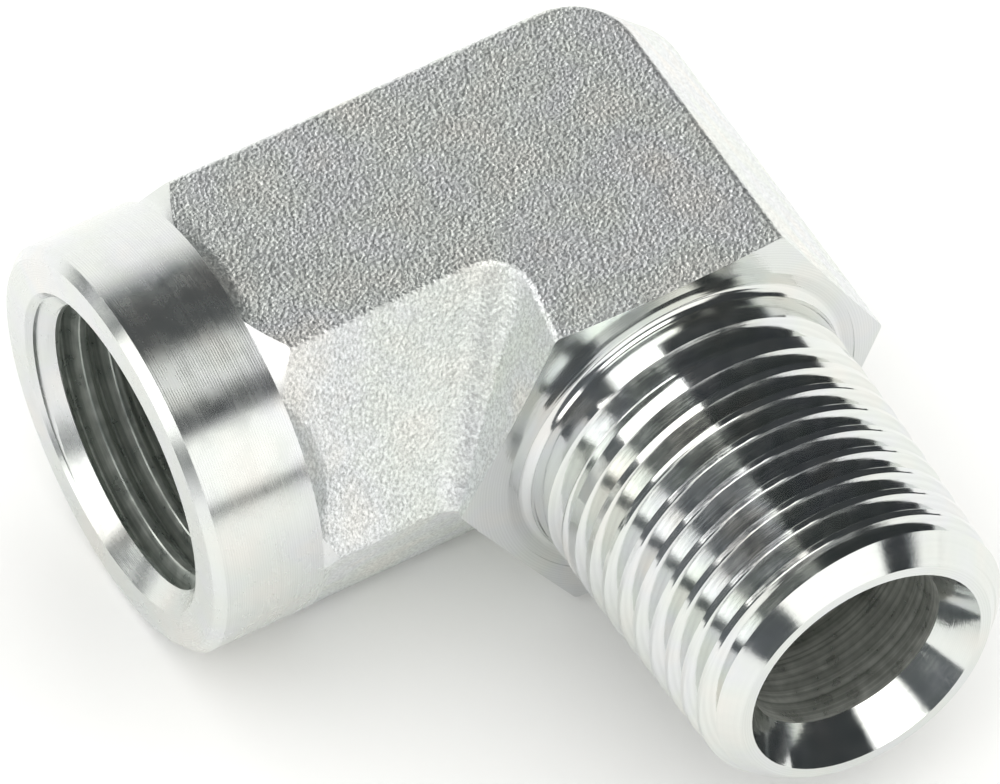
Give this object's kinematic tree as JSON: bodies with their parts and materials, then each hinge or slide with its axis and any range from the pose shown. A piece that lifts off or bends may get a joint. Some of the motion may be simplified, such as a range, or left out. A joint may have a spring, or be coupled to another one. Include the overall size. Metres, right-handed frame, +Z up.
{
  "type": "hydraulic adapter",
  "caption": "Right-angle street elbow: a six-sided forged body with a tapped port in a turned collar and a taper-threaded stem with a seat cone.",
  "frame": {"origin": "on the bottom flat of the body, straight below the crossing of the two port axes", "axes": "+X along the tapped port, pointing out of its mouth; +Y along the threaded stem, pointing out of its end; +Z up, square to both port axes"},
  "size_m": [0.0451, 0.052, 0.0269],
  "materials": {
    "zinc_plated_steel": "bright zinc plate: satin shot-blasted forging, lathe-turned collar, stem and bores"
  },
  "bodies": {
    "root": {"elbow_body": "zinc_plated_steel"}
  },
  "joints": []
}
